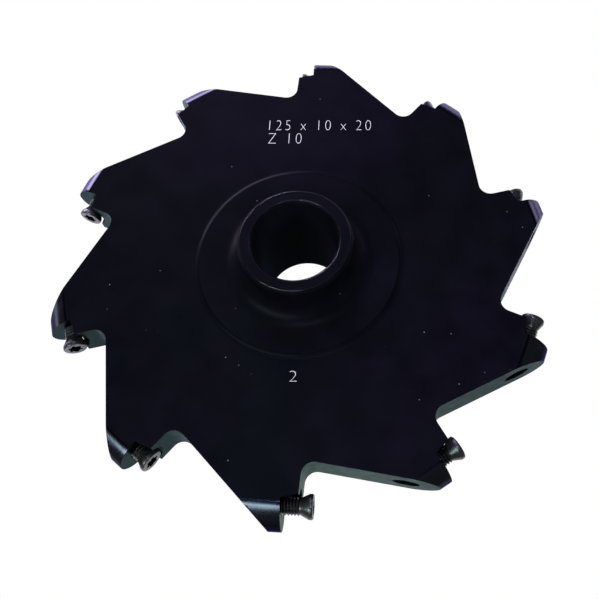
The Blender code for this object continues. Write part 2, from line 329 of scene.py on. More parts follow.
def new_geometry_tree(name, inputs):
    """A tree with a geometry input and output, and the named inputs given as (name, kind) pairs."""
    tree = bpy.data.node_groups.new(name, "GeometryNodeTree")
    tree.is_modifier = True
    tree.interface.new_socket(name="Geometry", in_out="INPUT", socket_type="NodeSocketGeometry")
    for label, kind in inputs:
        tree.interface.new_socket(name=label, in_out="INPUT", socket_type=f"NodeSocket{kind}")
    tree.interface.new_socket(name="Geometry", in_out="OUTPUT", socket_type="NodeSocketGeometry")
    return tree


def place_node(tree, kind, column, row, links=(), **settings):
    """Add a node, set its properties, and link or set its inputs from (input, source) pairs."""
    node = tree.nodes.new(kind)
    node.location = (column * 190, -row * 160)
    for key, value in settings.items():
        setattr(node, key, value)
    for key, source in links:
        socket = node.inputs[key]
        if isinstance(source, bpy.types.NodeSocket):
            tree.links.new(source, socket)
        else:
            socket.default_value = source
    return node


def compute(tree, operation, *values, column=-3, row=0):
    """Result of a Math node on the given numbers and sockets."""
    node = place_node(tree, "ShaderNodeMath", column, row, list(enumerate(values)), operation=operation)
    return node.outputs[0]


def hand_out(tree, shape, material, column):
    """End a tree: make the copies real, coat them and give them out."""
    realized = place_node(tree, "GeometryNodeRealizeInstances", column, 0, [(0, shape)])
    coated = place_node(tree, "GeometryNodeSetMaterial", column + 1, 0,
                        [("Geometry", realized.outputs[0]), ("Material", material)])
    place_node(tree, "NodeGroupOutput", column + 2, 0, [("Geometry", coated.outputs[0])])


def give_tree(made, tree, values):
    """Add the tree to an object as a modifier, its inputs set by their identifiers."""
    modifier = made.modifiers.new(tree.name, "NODES")
    modifier.node_group = tree
    for item in tree.interface.items_tree:
        if item.item_type == "SOCKET" and item.in_out == "INPUT" and item.name in values:
            modifier[item.identifier] = values[item.name]
    made.update_tag()


def turn_about(tree, axis, angle, column, row):
    return place_node(tree, "FunctionNodeAxisAngleToRotation", column, row,
                      [("Axis", axis), ("Angle", angle)]).outputs[0]


def read_attribute(tree, name, column, row):
    return place_node(tree, "GeometryNodeInputNamedAttribute", column, row, [("Name", name)],
                      data_type="FLOAT").outputs[0]


def polar_rotation(tree, count, first_angle, column, row):
    """Rotation of each copy round the axis, from its index, the count and the first angle."""
    index = place_node(tree, "GeometryNodeInputIndex", column, row)
    step = compute(tree, "DIVIDE", 2 * pi, count, column=column, row=row + 1)
    angle = compute(tree, "MULTIPLY_ADD", index.outputs[0], step, first_angle, column=column + 1, row=row)
    return index.outputs[0], turn_about(tree, (0.0, 0.0, 1.0), angle, column + 2, row)


# Cutter body


def hollow_points(foot_radius, foot_height, curve_radius, rise):
    """A hollow curve that leaves a flat face at the foot and climbs inwards by the given rise."""
    full = acos(1 - abs(rise) / curve_radius)
    side = 1 if rise > 0 else -1
    points = []
    for i in range(HOLLOW_STEPS + 1):
        angle = full * i / HOLLOW_STEPS
        points.append((foot_radius - curve_radius * sin(angle),
                       foot_height + side * curve_radius * (1 - cos(angle))))
    return points


def body_blank(sizes, blank_radius):
    """The turned blank before its teeth are milled: hub, round disc and boss ring in one profile."""
    hub = sizes.hub_diameter / 2
    boss_top = FRONT_FACE + sizes.boss_height
    boss_foot = sizes.boss_diameter / 2 + sizes.boss_foot_fillet * sin(
        acos(1 - sizes.boss_height / sizes.boss_foot_fillet))
    rear, front = sizes.rear_root_fillet, sizes.front_root_fillet
    profile = [(hub - sizes.hub_edge_chamfer, 0.0), (hub, sizes.hub_edge_chamfer)]
    profile += reversed(hollow_points(hub + rear, REAR_FACE, rear, -rear))
    profile += [(blank_radius, REAR_FACE), (blank_radius, FRONT_FACE)]
    profile += hollow_points(boss_foot, FRONT_FACE, sizes.boss_foot_fillet, sizes.boss_height)
    profile += hollow_points(hub + front, boss_top, front, front)
    profile += [(hub, HUB_TOP - sizes.hub_edge_chamfer), (hub - sizes.hub_edge_chamfer, HUB_TOP)]
    return turned_mesh("cutter_body", profile, TURNED_SEGMENTS)


def bore_tool(sizes):
    bore, chamfer = sizes.bore_diameter / 2, sizes.bore_chamfer
    profile = [
        (bore + chamfer + OVERCUT, -OVERCUT),
        (bore, chamfer),
        (bore, HUB_TOP - chamfer),
        (bore + chamfer + OVERCUT, HUB_TOP + OVERCUT),
    ]
    return turned_mesh("bore_tool", profile, TURNED_SEGMENTS)


def fillet_points(corner, toward_start, toward_end, radius, steps):
    """Points of an arc that rounds the corner between two headings."""
    opening = toward_start.angle(toward_end)
    centre = corner + (toward_start + toward_end).normalized() * (radius / sin(opening / 2))
    reach = radius / tan(opening / 2)
    first = corner + toward_start * reach - centre
    last = corner + toward_end * reach - centre
    from_angle = atan2(first.y, first.x)
    sweep = (atan2(last.y, last.x) - from_angle + pi) % (2 * pi) - pi
    return [centre + heading(from_angle + sweep * i / steps) * radius for i in range(steps + 1)]


def tooth_space_tool(sizes, blank_radius):
    """Milling tool for one tooth space, in its seat frame: X out along the seat, Y square to it."""
    slope = sizes.crest_radius - sizes.slope_inset
    ledge = sizes.crest_radius - sizes.ledge_inset
    depth = sizes.insert_thickness
    nose = Vector((ledge - depth * tan(sizes.ledge_lean), depth))
    up_wall = heading(sizes.wall_lean)
    square = heading(-sizes.slope_lean)
    along = heading(pi / 2 - sizes.slope_lean)
    corner = nose + up_wall * ((slope - nose.dot(square)) / up_wall.dot(square))
    outside = TOOL_REACH * blank_radius
    outline = [Vector((outside, 0.0)), Vector((ledge, 0.0)), nose]
    outline += fillet_points(corner, up_wall, along, sizes.gullet_radius, GULLET_STEPS)
    outline.append(square * slope + along * (outside ** 2 - slope ** 2) ** 0.5)
    return ring_mesh("tooth_space_tool", [[(p.x, p.y, height) for p in outline]
                                          for height in (REAR_FACE - OVERCUT, FRONT_FACE + OVERCUT)])


def crown_curve(start, lead, crest, steps):
    """Smooth curve that leaves the front face along the lead and is upright at the crest."""
    handle = Vector((crest.x, start.y + CROWN_FULLNESS * (crest.y - start.y)))
    points = [start, start + lead, handle, crest]
    curve = []
    for i in range(steps + 1):
        t = i / steps
        weights = ((1 - t) ** 3, 3 * t * (1 - t) ** 2, 3 * t ** 2 * (1 - t), t ** 3)
        point = sum((weight * p for weight, p in zip(weights, points)), Vector((0.0, 0.0)))
        curve.append((point.x, point.y))
    return curve


def arc_to_crest(shoulder, crest, steps):
    """Arc from a shoulder to the crest, square to the radial direction at the crest."""
    rise = crest[0] - shoulder[0]
    run = crest[1] - shoulder[1]
    radius = (rise ** 2 + run ** 2) / (2 * rise)
    full = atan2(abs(run), radius - rise)
    side = 1 if run < 0 else -1
    points = []
    for i in range(steps + 1):
        angle = full * (1 - i / steps)
        points.append((crest[0] - radius * (1 - cos(angle)), crest[1] + side * radius * sin(angle)))
    return points


def crown_tool(sizes, kind, blank_radius):
    """Milling tool for a tooth tip's bevel and crown, swept back from its seat on a wide arc."""
    bevel_start = Vector((sizes.crest_radius - FRONT_BEVEL_INSET[kind], FRONT_FACE))
    lead = Vector((sizes.bevel_width, -sizes.bevel_depth))
    crest = Vector((sizes.crest_radius, FRONT_FACE - CREST_DEPTH[kind]))
    shoulder = (sizes.crest_radius - REAR_SHOULDER_INSET[kind], REAR_FACE)
    front_arc = crown_curve(bevel_start, lead, crest, CROWN_STEPS)
    rear_arc = arc_to_crest(shoulder, crest, CROWN_STEPS)
    lead_in = (bevel_start.x - OVERCUT * sizes.bevel_width / sizes.bevel_depth, FRONT_FACE + OVERCUT)
    slant = (rear_arc[0][0] - rear_arc[1][0]) / (rear_arc[0][1] - rear_arc[1][1])
    run_out = (shoulder[0] - OVERCUT * slant, REAR_FACE - OVERCUT)
    outside = TOOL_REACH * blank_radius
    section = [lead_in] + front_arc + list(reversed(rear_arc))[1:]
    section += [run_out, (outside, run_out[1]), (outside, lead_in[1])]
    rings = []
    for i in range(SWEEP_STEPS + 1):
        offset = OVERCUT - (OVERCUT + CROWN_REACH) * i / SWEEP_STEPS
        fall = offset ** 2 / (2 * sizes.crown_sweep)
        rings.append([(radial - fall, offset, height) for radial, height in section])
    return ring_mesh(f"{kind}_crown_tool", rings)


def screw_place(sizes, screw):
    """Frame of a screw in its seat frame: origin on the seat, Z outwards along the screw."""
    crossing = Matrix.Translation((sizes.crest_radius - screw.axis_inset, 0.0, MID_DISC))
    return crossing @ Matrix.Rotation(-pi / 2, 4, "X")


def screw_hole_tool(sizes, screw):
    """Hole from the seat out through the back of the tooth, with the scoop for the head."""
    hole = screw.hole_diameter / 2
    lowest_rim = min(SCREW_STANDOUTS) - screw.head_rim_length
    cone_start = lowest_rim - screw.head_cone_length - SCREW_CLEARANCE
    widening = (screw.head_diameter / 2 + SCREW_CLEARANCE - hole) / (lowest_rim - cone_start)
    profile = [
        (hole, -sizes.crest_radius / 4),
        (hole, cone_start),
        (hole + widening * (screw.scoop_floor - cone_start), screw.scoop_floor),
        (screw.scoop_radius, screw.scoop_floor),
        (screw.scoop_radius, 2 * sizes.insert_thickness),
    ]
    mesh = turned_mesh("screw_hole_tool", profile, HOLE_SEGMENTS)
    mesh.transform(screw_place(sizes, screw))
    return mesh


def body_tree():
    """Milling of the teeth: every tool is turned to each tooth and cut out of the turned blank."""
    tree = new_geometry_tree("mill_teeth", [
        ("Tooth Count", "Int"), ("First Seat Angle", "Float"), ("Tooth Space", "Object"),
        ("Odd Crown", "Object"), ("Even Crown", "Object"), ("Screw Hole", "Object"), ("Bore", "Object"),
        ("Material", "Material")])
    given = place_node(tree, "NodeGroupInput", 0, 0).outputs
    count = given["Tooth Count"]
    points = place_node(tree, "GeometryNodePoints", 2, 2, [("Count", count)])
    index, turn = polar_rotation(tree, count, given["First Seat Angle"], 1, 3)
    parity = compute(tree, "MODULO", index, 2.0, column=2, row=6)
    is_even = compute(tree, "GREATER_THAN", parity, 0.5, column=3, row=6)
    is_odd = compute(tree, "LESS_THAN", parity, 0.5, column=3, row=7)
    shape = given["Geometry"]
    cuts = (("Tooth Space", None), ("Odd Crown", is_odd), ("Even Crown", is_even), ("Screw Hole", None))
    for row, (label, chosen) in enumerate(cuts):
        tool = place_node(tree, "GeometryNodeObjectInfo", 4, row, [("Object", given[label])])
        links = [("Points", points.outputs[0]), ("Instance", tool.outputs["Geometry"]),
                 ("Rotation", turn)]
        if chosen is not None:
            links.append(("Selection", chosen))
        copies = place_node(tree, "GeometryNodeInstanceOnPoints", 5, row, links)
        cut = place_node(tree, "GeometryNodeMeshBoolean", 6 + row, row,
                         [(0, shape), (1, copies.outputs[0])], operation="DIFFERENCE", solver="EXACT")
        shape = cut.outputs[0]
    bore = place_node(tree, "GeometryNodeObjectInfo", 9, 4, [("Object", given["Bore"])])
    bored = place_node(tree, "GeometryNodeMeshBoolean", 10, 0,
                       [(0, shape), (1, bore.outputs["Geometry"])], operation="DIFFERENCE",
                       solver="EXACT")
    hand_out(tree, bored.outputs[0], given["Material"], 11)
    return tree


class CUTTER_OT_body(bpy.types.Operator):
    """Turn, mill and blacken the cutter body"""
    bl_idname = "cutter.body"
    bl_label = "Cutter Body"

    def execute(self, context):
        sizes, screw = context.scene.cutter.body, context.scene.cutter.screw
        pitch = pitch_angle(sizes)
        blank_radius = BLANK_OVERSIZE * (sizes.crest_radius - sizes.slope_inset) / cos(
            sizes.slope_lean + pitch)
        tools = {
            "Tooth Space": tooth_space_tool(sizes, blank_radius),
            "Odd Crown": crown_tool(sizes, "odd", blank_radius),
            "Even Crown": crown_tool(sizes, "even", blank_radius),
            "Screw Hole": screw_hole_tool(sizes, screw),
            "Bore": bore_tool(sizes),
        }
        tools = {label: add_object(mesh.name, mesh) for label, mesh in tools.items()}
        colours = context.scene.cutter.colours
        finishes = [black_oxide_material(colours), worn_edge_material(colours),
                    blued_bevel_material(colours), milled_flank_material(colours)]
        body = add_object("milled_body", body_blank(sizes, blank_radius))
        give_tree(body, body_tree(), {
            "Tooth Count": sizes.tooth_count, "First Seat Angle": sizes.first_seat_angle,
            "Material": finishes[OXIDE], **tools})
        bake_modifiers(body, "milled_body")
        remove_objects(*tools.values())
        merge_slivers(body.data, SLIVER)
        body.data.materials.clear()
        for finish in finishes:
            body.data.materials.append(finish)
        body.data.shade_smooth()
        bevel = body.modifiers.new("edge_break", "BEVEL")
        bevel.width = sizes.edge_break
        bevel.segments = 2
        bevel.limit_method = "ANGLE"
        bevel.angle_limit = radians(20)
        bevel.material = WORN_EDGE
        even = body.modifiers.new("even_faces", "WEIGHTED_NORMAL")
        even.mode = "FACE_AREA"
        even.weight = 80
        even.keep_sharp = False
        bake_modifiers(body, "milled_body")
        assign_finishes(body.data, sizes)
        finish_piece(body, "blackened_steel", "cutter_body")
        return {"FINISHED"}


def assign_finishes(mesh, sizes):
    """Keep worn edges to the turned parts, and give milled flanks and crowned tips their own finish."""
    upright, level = 0.6, 0.995
    turned_reach = 0.6 * sizes.boss_diameter
    tip_start = sizes.crest_radius - 1.2 * sizes.ledge_inset
    for face in mesh.polygons:
        radius = hypot(face.center.x, face.center.y)
        rise = abs(face.normal.z)
        if radius > turned_reach:
            face.material_index = MILLED_FLANK if rise < upright else OXIDE
        if radius < tip_start or rise > level:
            continue
        angle = atan2(face.center.y, face.center.x) - sizes.first_seat_angle
        tooth = round(angle / pitch_angle(sizes) + 0.25)
        along_seat = heading(sizes.first_seat_angle + tooth * pitch_angle(sizes))
        flat = face.normal.xy
        if flat.dot(along_seat) > 0.15 and abs(flat.cross(along_seat)) < 0.2:
            face.material_index = BLUED_BEVEL


def merge_slivers(mesh, distance):
    """Join points that two cuts left almost on top of each other."""
    bm = bmesh.new()
    bm.from_mesh(mesh)
    bmesh.ops.remove_doubles(bm, verts=bm.verts, dist=distance)
    bmesh.ops.dissolve_degenerate(bm, edges=bm.edges, dist=distance / 2)
    bm.to_mesh(mesh)
    bm.free()


# Clamping screws


def screw_blank(screw):
    """One screw without its thread, its head's face at the origin and Z outwards.

    Its points carry whether they lie in the socket, for the painted shade there.
    """
    head, neck = screw.head_diameter / 2, screw.neck_diameter / 2
    rounding = screw.head_edge_rounding
    mean = (screw.thread_diameter - screw.thread_depth) / 2
    head_end = -(screw.head_rim_length + screw.head_cone_length)
    thread_top = head_end - screw.plain_neck
    tip = head_end - screw.shank_length
    tip_chamfer = 0.5 * MM
    socket, lobe, depth = screw.socket_radius, screw.socket_lobe, screw.socket_depth
    dish, dish_side = 0.35 * MM, 0.15 * MM
    lead = 0.12 * MM
    stations = [(0.02 * socket, 0.0, -depth - dish), (0.55 * socket, 0.2 * lobe, -depth - dish_side),
                (0.93 * socket, lobe, -depth), (socket, lobe, -depth + lead), (socket, lobe, -lead),
                (socket + lead, lobe, 0.0)]
    for i in range(ROUNDING_STEPS + 1):
        angle = pi / 2 * i / ROUNDING_STEPS
        stations.append((head - rounding + rounding * sin(angle), 0.0, -rounding * (1 - cos(angle))))
    rim_end = -screw.head_rim_length
    stations += [(head, 0.0, rim_end + lead), (head - lead, 0.0, rim_end - lead),
                 (neck + lead, 0.0, head_end + lead), (neck, 0.0, head_end - lead),
                 (neck, 0.0, thread_top + 0.2 * MM)]
    row = screw.thread_pitch / THREAD_ROWS
    rows = int((thread_top - tip - tip_chamfer) / row)
    stations += [(mean, 0.0, thread_top - i * row) for i in range(rows + 1)]
    stations += [(mean - 0.2 * MM, 0.0, tip + 0.25 * MM), (mean - tip_chamfer, 0.0, tip),
                 (0.1 * mean, 0.0, tip)]
    turns = [2 * pi * i / SCREW_SEGMENTS for i in range(SCREW_SEGMENTS)]
    rings = []
    for radius, swell, height in stations:
        reach = [radius + swell * cos(SOCKET_LOBES * a) for a in turns]
        rings.append([(r * cos(a), r * sin(a), height) for r, a in zip(reach, turns)])
    mesh = ring_mesh("screw_blank", rings)
    recess = mesh.attributes.new("recess", "FLOAT", "POINT")
    for point, value in zip(mesh.vertices, recess.data):
        in_socket = point.co.z < -lead / 2 and hypot(point.co.x, point.co.y) < socket + 1.5 * lobe
        value.value = 1.0 if in_socket and point.co.z > -depth - screw.socket_radius else 0.0
    return mesh, thread_top, tip + tip_chamfer


def seat_points(sizes, screw):
    """One point for each screw, with its standout, its turn and its tooth's direction."""
    count = min(sizes.tooth_count, len(SCREW_STANDOUTS))
    mesh = bpy.data.meshes.new("clamp_screws")
    places = []
    for tooth in range(count):
        seat = Matrix.Rotation(sizes.first_seat_angle + tooth * pitch_angle(sizes), 4, "Z")
        places.append(seat @ screw_place(sizes, screw))
    mesh.from_pydata([place.translation for place in places], [], [])
    for name, values in (("standout", SCREW_STANDOUTS), ("socket_turn", SOCKET_TURNS)):
        attribute = mesh.attributes.new(name, "FLOAT", "POINT")
        attribute.data.foreach_set("value", values[:count])
    return mesh


def screw_tree():
    """Cut a helical thread into the blank, then set a copy in each hole, out by its standout."""
    tree = new_geometry_tree("set_screws", [
        ("Screw", "Object"), ("Tooth Count", "Int"), ("First Seat Angle", "Float"),
        ("Thread Pitch", "Float"), ("Thread Depth", "Float"), ("Thread Top", "Float"),
        ("Thread End", "Float"), ("Material", "Material")])
    given = place_node(tree, "NodeGroupInput", 0, 0).outputs
    screw = place_node(tree, "GeometryNodeObjectInfo", 1, 0, [("Object", given["Screw"])])

    def math(operation, column, row, *values):
        return compute(tree, operation, *values, column=column, row=row)

    position = place_node(tree, "GeometryNodeInputPosition", 1, 2)
    split = place_node(tree, "ShaderNodeSeparateXYZ", 2, 2, [(0, position.outputs[0])]).outputs
    turn = math("ARCTAN2", 3, 2, split["Y"], split["X"])
    lead = math("DIVIDE", 4, 2, turn, 2 * pi)
    climbed = math("DIVIDE", 3, 3, split["Z"], given["Thread Pitch"])
    phase = math("SUBTRACT", 5, 2, climbed, lead)
    wave = math("PINGPONG", 6, 2, math("FRACT", 5, 3, phase), 0.5)
    ridge = math("MULTIPLY_ADD", 7, 2, wave, 2.0, -0.5)
    reach = math("MULTIPLY", 8, 2, ridge, given["Thread Depth"])
    top = math("ADD", 3, 5, given["Thread Top"], 1e-5)
    end = math("SUBTRACT", 3, 6, given["Thread End"], 1e-5)
    below_top = math("LESS_THAN", 4, 4, split["Z"], top)
    above_end = math("GREATER_THAN", 4, 5, split["Z"], end)
    threaded = math("MULTIPLY", 5, 4, below_top, above_end)
    flat = place_node(tree, "ShaderNodeCombineXYZ", 3, 1,
                      [("X", split["X"]), ("Y", split["Y"])])
    outwards = place_node(tree, "ShaderNodeVectorMath", 4, 1, [(0, flat.outputs[0])],
                          operation="NORMALIZE")
    offset = place_node(tree, "ShaderNodeVectorMath", 9, 1,
                        [(0, outwards.outputs[0]), ("Scale", reach)], operation="SCALE")
    cut = place_node(tree, "GeometryNodeSetPosition", 10, 0,
                     [("Geometry", screw.outputs["Geometry"]), ("Selection", threaded),
                      ("Offset", offset.outputs[0])])
    # Painted shade: the socket and the roots of the thread are marked for a darker colour.
    in_socket = read_attribute(tree, "recess", 9, 3)
    hollow = math("SUBTRACT", 8, 3, 0.9, math("MULTIPLY", 7, 3, wave, 2.0))
    in_root = math("MULTIPLY", 9, 2, hollow, threaded)
    recess = math("MAXIMUM", 10, 2, in_socket, in_root)
    marked = place_node(tree, "GeometryNodeStoreNamedAttribute", 11, 0,
                        [("Geometry", cut.outputs[0]), ("Name", "recess"), ("Value", recess)],
                        data_type="FLOAT", domain="POINT")
    seat_turn = polar_rotation(tree, given["Tooth Count"], given["First Seat Angle"], 6, 5)[1]
    tilt = turn_about(tree, (1.0, 0.0, 0.0), -pi / 2, 8, 7)
    spin = turn_about(tree, (0.0, 0.0, 1.0), read_attribute(tree, "socket_turn", 7, 8), 8, 8)
    aimed = place_node(tree, "FunctionNodeRotateRotation", 9, 6, [(0, seat_turn), (1, tilt)],
                       rotation_space="LOCAL")
    spun = place_node(tree, "FunctionNodeRotateRotation", 10, 6,
                      [(0, aimed.outputs[0]), (1, spin)], rotation_space="LOCAL")
    out = place_node(tree, "ShaderNodeCombineXYZ", 10, 9, [("Z", read_attribute(tree, "standout", 9, 9))])
    out_turned = place_node(tree, "FunctionNodeRotateVector", 11, 8,
                            [("Vector", out.outputs[0]), ("Rotation", aimed.outputs[0])])
    moved = place_node(tree, "GeometryNodeSetPosition", 12, 3,
                       [("Geometry", given["Geometry"]), ("Offset", out_turned.outputs[0])])
    copies = place_node(tree, "GeometryNodeInstanceOnPoints", 13, 0,
                        [("Points", moved.outputs[0]), ("Instance", marked.outputs[0]),
                         ("Rotation", spun.outputs[0])])
    hand_out(tree, copies.outputs[0], given["Material"], 14)
    return tree


class CUTTER_OT_screws(bpy.types.Operator):
    """Thread the clamping screws and set one in each tooth"""
    bl_idname = "cutter.screws"
    bl_label = "Clamping Screws"

    def execute(self, context):
        sizes, screw = context.scene.cutter.body, context.scene.cutter.screw
        mesh, thread_top, thread_end = screw_blank(screw)
        blank = add_object("screw_blank", mesh)
        screws = add_object("threaded_screws", seat_points(sizes, screw))
        give_tree(screws, screw_tree(), {
            "Screw": blank, "Tooth Count": sizes.tooth_count,
            "First Seat Angle": sizes.first_seat_angle, "Thread Pitch": screw.thread_pitch,
            "Thread Depth": screw.thread_depth, "Thread Top": thread_top, "Thread End": thread_end,
            "Material": gunmetal_material(context.scene.cutter.colours)})
        bake_modifiers(screws, "threaded_screws")
        remove_objects(blank)
        screws.data.shade_smooth()
        screws.data.set_sharp_from_angle(angle=radians(38))
        finish_piece(screws, "screw_steel", *SCREW_NODES)
        return {"FINISHED"}


# Etched marks


def etched_text(body, length, height):
    """A line of figures as a thin solid, its baseline's left end at the origin."""
    curve = bpy.data.curves.new("figures", "FONT")
    curve.body = body
    curve.size = 1.0
    curve.space_character = 1.3
    curve.offset = -0.030
    curve.extrude = 0.01
    curve.resolution_u = 4
    text = add_object("figures", curve)
    mesh = evaluated_mesh(text)
    bpy.data.objects.remove(text, do_unlink=True)
    bpy.data.curves.remove(curve)
    corners = [v.co for v in mesh.vertices]
    low = [min(c[axis] for c in corners) for axis in range(3)]
    high = [max(c[axis] for c in corners) for axis in range(3)]
    mesh.transform(Matrix.Translation((-low[0], -low[1], -low[2])))
    scale = (length / (high[0] - low[0]), height / (high[1] - low[1]), 2 * MARK_PROUD / (high[2] - low[2]))
    mesh.transform(Matrix.Diagonal((*scale, 1.0)))
    return mesh


class CUTTER_OT_marks(bpy.types.Operator):
    """Etch the size figures on the front face"""
    bl_idname = "cutter.marks"
    bl_label = "Etched Marks"

    def execute(self, context):
        bm = bmesh.new()
        for body, (x, y), length, height, turn in MARKS:
            mesh = etched_text(body, length * MM, height * MM)
            place = Matrix.Translation((x * MM, y * MM, FRONT_FACE - MARK_PROUD))
            mesh.transform(place @ Matrix.Rotation(radians(turn), 4, "Z"))
            bm.from_mesh(mesh)
            bpy.data.meshes.remove(mesh)
        bmesh.ops.remove_doubles(bm, verts=bm.verts, dist=1e-7)
        marks = add_object("etched_marks", finish_mesh("etched_marks", bm))
        marks.data.materials.append(etching_material(context.scene.cutter.colours))
        finish_piece(marks, "blackened_steel")
        return {"FINISHED"}


# Materials


def new_material(name, base, metallic, roughness, grazing=(1.0, 1.0, 1.0)):
    """Material with a plain base, and how much of a mirror it becomes when seen at a low angle.

    Its tree, its shader and the object's own coordinates come with it.
    """
    material = bpy.data.materials.new(name)
    material.use_nodes = True
    shader = material.node_tree.nodes["Principled BSDF"]
    shader.inputs["Base Color"].default_value = (*base, 1.0)
    shader.inputs["Metallic"].default_value = metallic
    shader.inputs["Roughness"].default_value = roughness
    shader.inputs["Specular Tint"].default_value = (*grazing, 1.0)
    place = place_node(material.node_tree, "ShaderNodeTexCoord", -7, 0).outputs["Object"]
    return material, material.node_tree, shader, place


def noise(tree, place, scale, detail=3.0, row=0):
    node = place_node(tree, "ShaderNodeTexNoise", -5, row,
                      [("Vector", place), ("Scale", scale), ("Detail", detail)])
    return node.outputs["Fac"]


def spread(tree, value, low, high, to_low, to_high, row=0):
    node = place_node(tree, "ShaderNodeMapRange", -4, row,
                      [("Value", value), ("From Min", low), ("From Max", high), ("To Min", to_low),
                       ("To Max", to_high)])
    return node.outputs["Result"]


def blend(tree, factor, first, second, row=0, column=-2):
    node = place_node(tree, "ShaderNodeMix", column, row, [("Factor", factor)], data_type="RGBA")
    for socket, source in ((node.inputs[6], first), (node.inputs[7], second)):
        if isinstance(source, bpy.types.NodeSocket):
            tree.links.new(source, socket)
        else:
            socket.default_value = (*source, 1.0)
    return node.outputs[2]


def scaled(tree, colour, amount, row):
    return place_node(tree, "ShaderNodeVectorMath", -2, row, [(0, colour), ("Scale", amount)],
                      operation="SCALE").outputs[0]


def vary_roughness(tree, shader, place, scale, low, high, row):
    """Let the roughness wander between two values over the surface."""
    uneven = spread(tree, noise(tree, place, scale, row=row), 0.3, 0.7, low, high, row=row)
    tree.links.new(uneven, shader.inputs["Roughness"])


def add_bump(tree, shader, height, strength, row):
    bump = place_node(tree, "ShaderNodeBump", -2, row,
                      [("Strength", strength), ("Distance", 0.02 * MM), ("Height", height)])
    tree.links.new(bump.outputs[0], shader.inputs["Normal"])


def turning_marks(tree, place, row):
    """Fine rings round the axis, as the tool left them on a turned face."""
    split = place_node(tree, "ShaderNodeSeparateXYZ", -6, row, [(0, place)]).outputs
    across = compute(tree, "MULTIPLY", split["X"], split["X"], row=row, column=-6)
    squares = compute(tree, "MULTIPLY_ADD", split["Y"], split["Y"], across, row=row)
    radius = compute(tree, "SQRT", squares, row=row + 1)
    node = place_node(tree, "ShaderNodeTexNoise", -5, row + 1,
                      [("W", radius), ("Scale", 5200.0), ("Detail", 2.0)], noise_dimensions="1D")
    return node.outputs["Fac"]


def black_oxide_material(colours):
    """Blackened steel: dark, a little violet in patches, finely turned, with a few pinhole specks."""
    material, tree, shader, place = new_material("black_oxide", colours.oxide, 0.0, 0.36)
    shader.inputs["Specular IOR Level"].default_value = 0.06
    patches = spread(tree, noise(tree, place, 22.0, 2.0, row=1), 0.40, 0.66, 0.0, 1.0, row=1)
    clouds = spread(tree, noise(tree, place, 140.0, 4.0, row=2), 0.35, 0.70, 0.80, 1.25, row=2)
    tint = blend(tree, patches, colours.oxide, colours.oxide_violet, row=1)
    shaded = scaled(tree, tint, clouds, 2)
    cells = place_node(tree, "ShaderNodeTexVoronoi", -5, 3, [("Vector", place), ("Scale", 330.0)])
    near = spread(tree, cells.outputs["Distance"], 0.025, 0.060, 1.0, 0.0, row=3)
    chosen = place_node(tree, "ShaderNodeSeparateColor", -4, 4, [(0, cells.outputs["Color"])])
    rare = spread(tree, chosen.outputs[0], 0.82, 1.0, 0.0, 0.6, row=4)
    speck = compute(tree, "MULTIPLY", near, rare, row=3)
    colour = blend(tree, speck, shaded, colours.bare_speck, row=3, column=-1)
    tree.links.new(colour, shader.inputs["Base Color"])
    vary_roughness(tree, shader, place, 60.0, 0.33, 0.40, 5)
    grain = noise(tree, place, 2600.0, row=6)
    height = compute(tree, "MULTIPLY_ADD", turning_marks(tree, place, 7), 0.6, grain, row=6)
    add_bump(tree, shader, height, 0.25, 6)
    return material


def worn_edge_material(colours):
    """Turned edges, where handling has thinned the oxide, most of all on the hub's ends."""
    material, tree, shader, place = new_material("worn_edge", colours.worn_edge, 1.0, 0.30)
    wear = spread(tree, noise(tree, place, 260.0, 4.0, row=1), 0.30, 0.58, 0.1, 1.0, row=1)
    split = place_node(tree, "ShaderNodeSeparateXYZ", -6, 2, [(0, place)]).outputs
    above_middle = compute(tree, "SUBTRACT", split["Z"], MID_DISC, row=2)
    off_disc = compute(tree, "ABSOLUTE", above_middle, row=3)
    handled = spread(tree, off_disc, 6.5 * MM, 12.0 * MM, 0.01, 1.0, row=3)
    bare = compute(tree, "MULTIPLY", wear, handled, row=1)
    colour = blend(tree, bare, colours.oxide, colours.worn_edge, row=1)
    tree.links.new(colour, shader.inputs["Base Color"])
    tree.links.new(spread(tree, wear, 0.0, 1.0, 0.32, 0.18, row=4), shader.inputs["Roughness"])
    return material


def milled_flank_material(colours):
    """Milled walls of the tooth spaces: greenish grey at a low angle, with fine cutter marks along Z."""
    material, tree, shader, place = new_material("milled_flank", colours.milled_flank, 1.0, 0.30,
                                                 (0.55, 0.65, 0.625))
    grain = spread(tree, noise(tree, place, 1800.0, 4.0, row=1), 0.3, 0.7, 0.7, 1.3, row=1)
    tree.links.new(scaled(tree, colours.milled_flank, grain, 1), shader.inputs["Base Color"])
    vary_roughness(tree, shader, place, 400.0, 0.26, 0.38, 2)
    split = place_node(tree, "ShaderNodeSeparateXYZ", -6, 3, [(0, place)]).outputs
    level = place_node(tree, "ShaderNodeCombineXYZ", -5, 3,
                       [("X", split["X"]), ("Y", split["Y"])])
    marks = noise(tree, level.outputs[0], 3500.0, 2.0, row=4)
    add_bump(tree, shader, marks, 0.3, 4)
    return material


